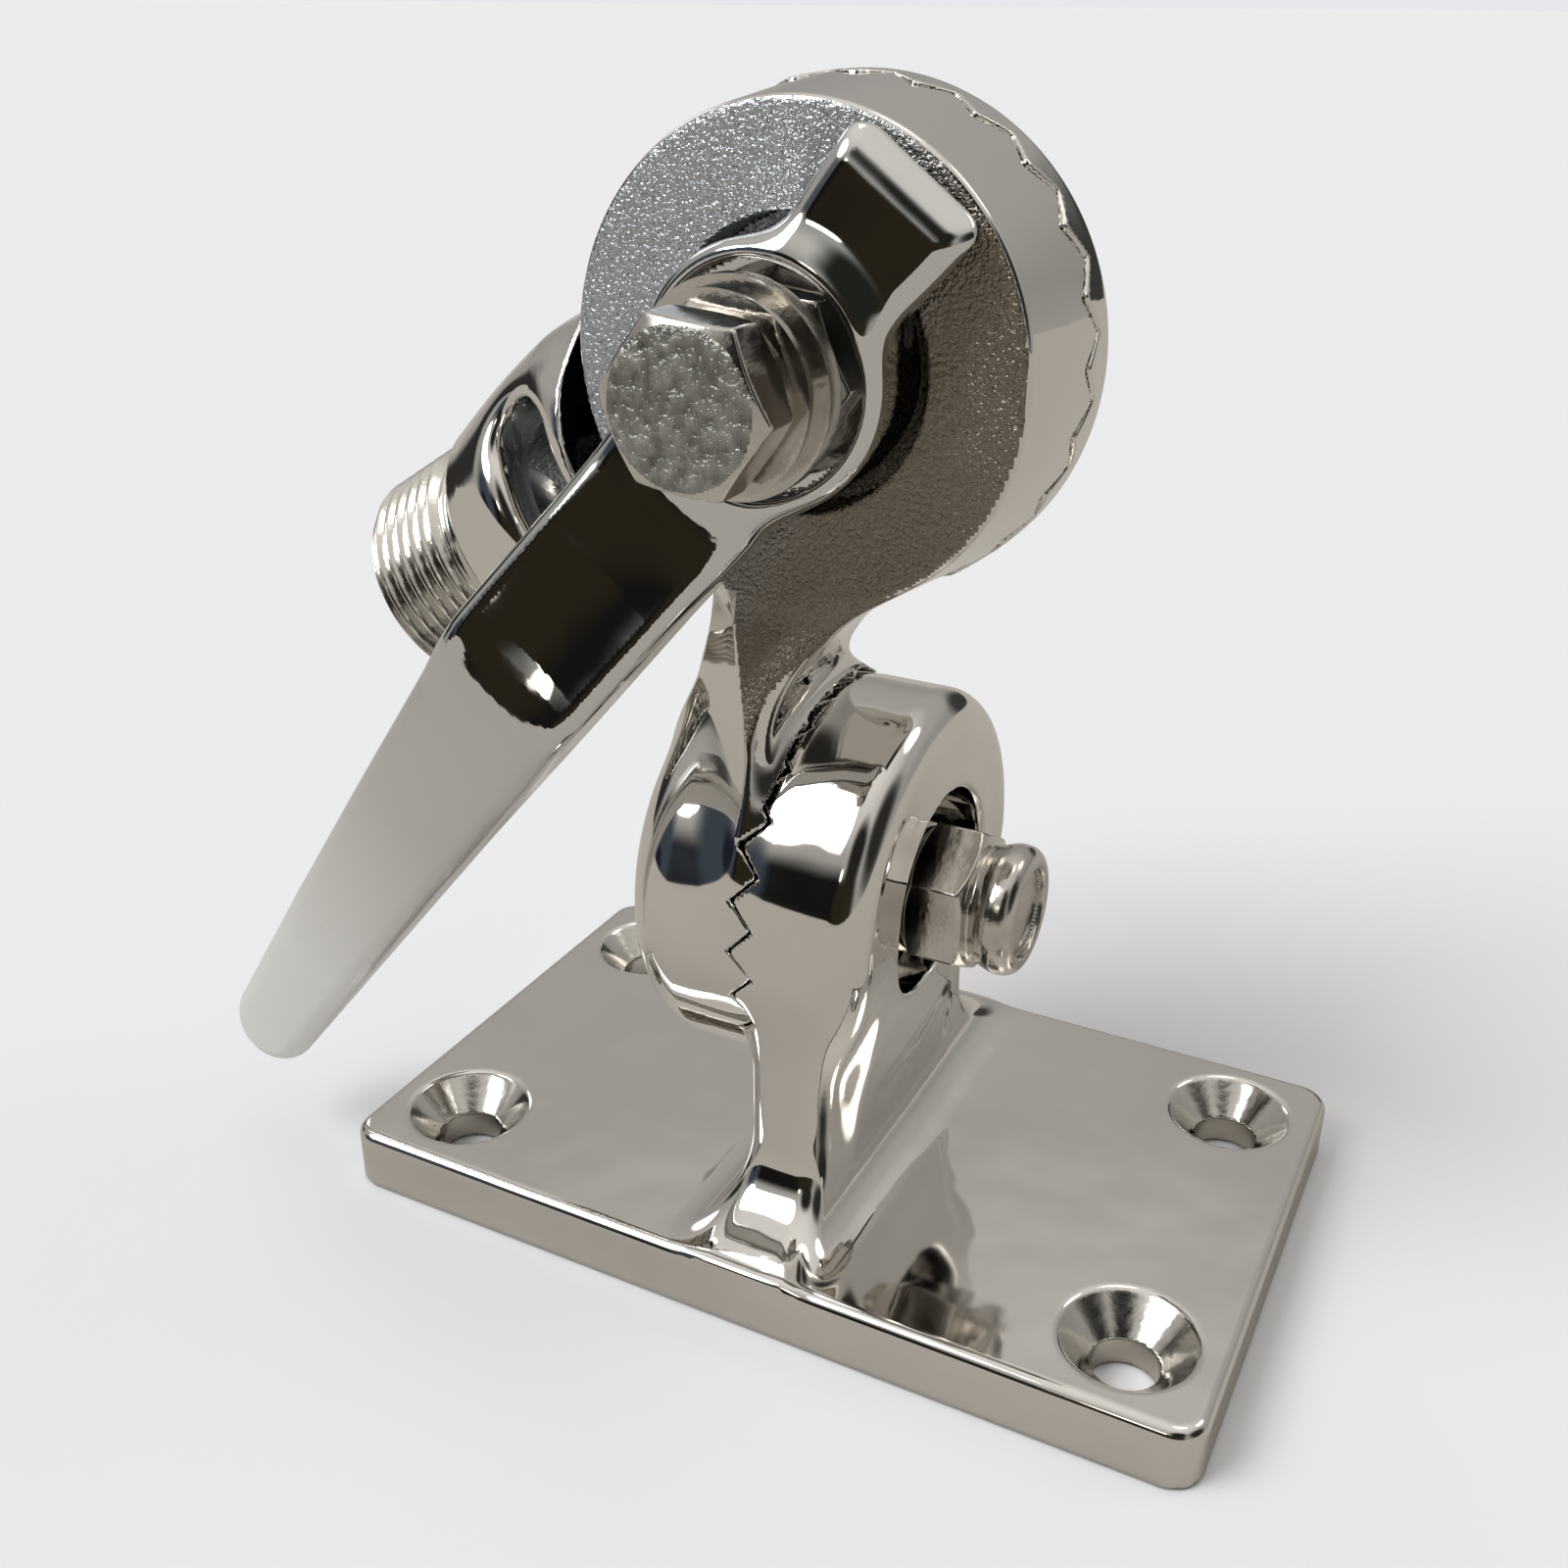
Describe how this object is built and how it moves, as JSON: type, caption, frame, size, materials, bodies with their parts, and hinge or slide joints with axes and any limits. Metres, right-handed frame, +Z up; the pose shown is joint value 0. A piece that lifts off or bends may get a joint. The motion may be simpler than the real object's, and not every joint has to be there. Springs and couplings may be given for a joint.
{
  "type": "antenna ratchet mount",
  "caption": "Polished stainless antenna mount with two serrated tilting joints, a clamping lever and a hollow threaded stub on a screw-down base plate.",
  "frame": {"origin": "centre of the base plate's underside, which is the middle of its four-hole pattern", "axes": "+Z up out of the plate, +X along the plate's long side and the lower hinge axis, -Y the side of the clamp bolt and lever"},
  "size_m": [0.1185, 0.0616, 0.1198],
  "materials": {
    "polished_stainless": "mirror-polished cast stainless steel, left sand-cast rough on the upper disc's front face",
    "satin_stainless": "satin machined and forged stainless steel",
    "spring_steel": "drawn stainless spring wire",
    "nylon": "plain white nylon"
  },
  "bodies": {
    "base": {"base_casting": "polished_stainless", "lower_nut_washer": "satin_stainless", "lower_jam_nut": "satin_stainless", "lower_lock_nut": "satin_stainless", "lower_lock_nut_insert": "nylon", "lower_spring_seat": "satin_stainless", "lower_release_spring": "spring_steel"},
    "hinge_bolt": {"lower_bolt": "satin_stainless", "lower_head_washer": "satin_stainless"},
    "arm": {"tilt_arm": "polished_stainless", "upper_release_spring": "spring_steel", "lever_thrust_washer": "satin_stainless"},
    "stub_seat": {"upper_spring_seat": "satin_stainless"},
    "stub": {"antenna_stub": "polished_stainless"},
    "lever": {"lever_handle": "polished_stainless", "lever_jam_nut": "satin_stainless", "clamp_flat_washer": "satin_stainless", "clamp_spring_washer": "satin_stainless", "clamp_bolt": "satin_stainless"}
  },
  "joints": [
    {"name": "lower_release", "type": "slide", "parent": "base", "child": "hinge_bolt", "axis": [-1, 0, 0], "range_m": [0, 0.003], "deforming": ["lower_release_spring"]},
    {"name": "lower_tilt", "type": "hinge", "parent": "hinge_bolt", "child": "arm", "pos_m": [0, 0, 0.039], "axis": [1, 0, 0], "range_deg": [-90, 45]},
    {"name": "upper_release", "type": "slide", "parent": "arm", "child": "stub_seat", "axis": [0, 1, 0], "range_m": [0, 0.003], "deforming": ["upper_release_spring"]},
    {"name": "upper_tilt", "type": "hinge", "parent": "stub_seat", "child": "stub", "pos_m": [-0.003, 0, 0.0953], "axis": [0, 1, 0], "range_deg": [0, 225]},
    {"name": "lever_turn", "type": "hinge", "parent": "arm", "child": "lever", "pos_m": [-0.003, 0, 0.0953], "axis": [0, 1, 0], "range_deg": [0, 270]}
  ]
}
